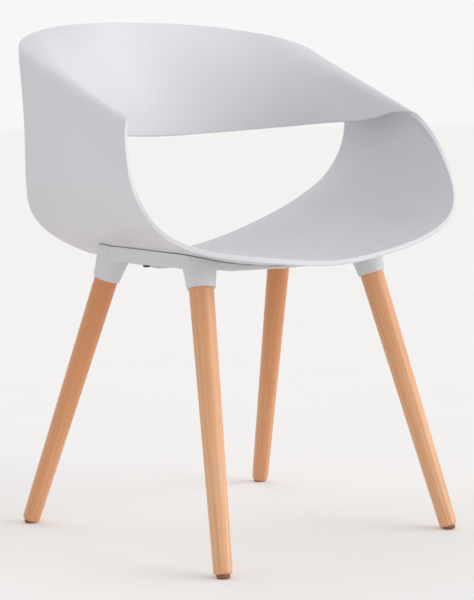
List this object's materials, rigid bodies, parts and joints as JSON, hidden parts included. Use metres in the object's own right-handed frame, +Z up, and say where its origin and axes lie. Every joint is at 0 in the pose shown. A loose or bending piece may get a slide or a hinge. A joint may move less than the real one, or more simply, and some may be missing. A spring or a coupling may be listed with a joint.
{
  "type": "dining chair",
  "caption": "Plastic armchair whose seat, arms and back are one folded ribbon shell, on a moulded underframe with splayed, tapered wooden legs.",
  "frame": {"origin": "on the floor, under the middle of the chair's overall box", "axes": "+Z up; the sitter faces -Y; +X is the sitter's left; the chair is symmetric about the plane X = 0"},
  "size_m": [0.629, 0.4837, 0.7708],
  "materials": {
    "shell_plastic": "fine matte, slightly satin moulded polypropylene",
    "frame_plastic": "fine matte moulded glass-filled plastic",
    "beech": "satin clear lacquer over straight-grained beech",
    "glide_nylon": "dark brown nylon",
    "zinc_steel": "bright zinc plating",
    "insert_brass": "plain machined brass"
  },
  "bodies": {
    "root": {"seat_shell": "shell_plastic", "base_frame": "frame_plastic", "leg_front_left": "beech", "leg_front_right": "beech", "leg_rear_left": "beech", "leg_rear_right": "beech", "glide_front_left": "glide_nylon", "glide_front_right": "glide_nylon", "glide_rear_left": "glide_nylon", "glide_rear_right": "glide_nylon", "glide_nails": "zinc_steel", "leg_bolts": "zinc_steel", "leg_washers": "zinc_steel", "leg_inserts": "zinc_steel", "seat_screws": "zinc_steel", "seat_washers": "zinc_steel", "seat_inserts": "insert_brass"}
  },
  "joints": []
}
